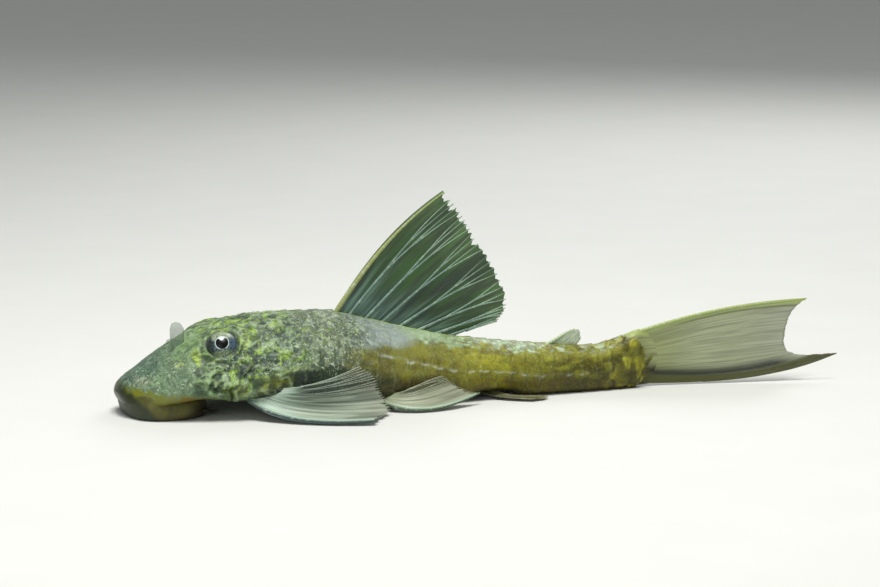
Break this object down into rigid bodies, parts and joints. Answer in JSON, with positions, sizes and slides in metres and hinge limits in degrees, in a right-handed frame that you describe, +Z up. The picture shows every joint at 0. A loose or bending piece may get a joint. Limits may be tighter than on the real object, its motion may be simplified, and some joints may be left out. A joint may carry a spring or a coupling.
{
  "type": "bristlenose pleco",
  "caption": "Armoured suckermouth catfish resting on its belly, head low, tall dorsal fin raised, paired fins spread beside it and a forked tail.",
  "frame": {"origin": "on the floor, in the middle of the flat under the belly", "axes": "+X toward the tail, +Y toward the fish's right side, +Z up; the head points to -X"},
  "size_m": [0.1291, 0.0434, 0.0358],
  "materials": {
    "skin": "granular, satin, mottled olive and grey-green",
    "lip": "soft, wet, dark olive",
    "fin": "thin translucent membrane over pale rays",
    "eye": "polished, dark"
  },
  "bodies": {
    "root": {"head": "skin", "mouth_disc": "lip", "trunk": "skin", "tail_stem": "skin", "dorsal_fin": "fin", "adipose_fin": "fin", "caudal_fin": "fin", "anal_fin": "fin", "pectoral_fin_left": "fin", "pectoral_fin_right": "fin", "pelvic_fin_left": "fin", "pelvic_fin_right": "fin", "eye_left": "eye", "eye_right": "eye"}
  },
  "joints": []
}
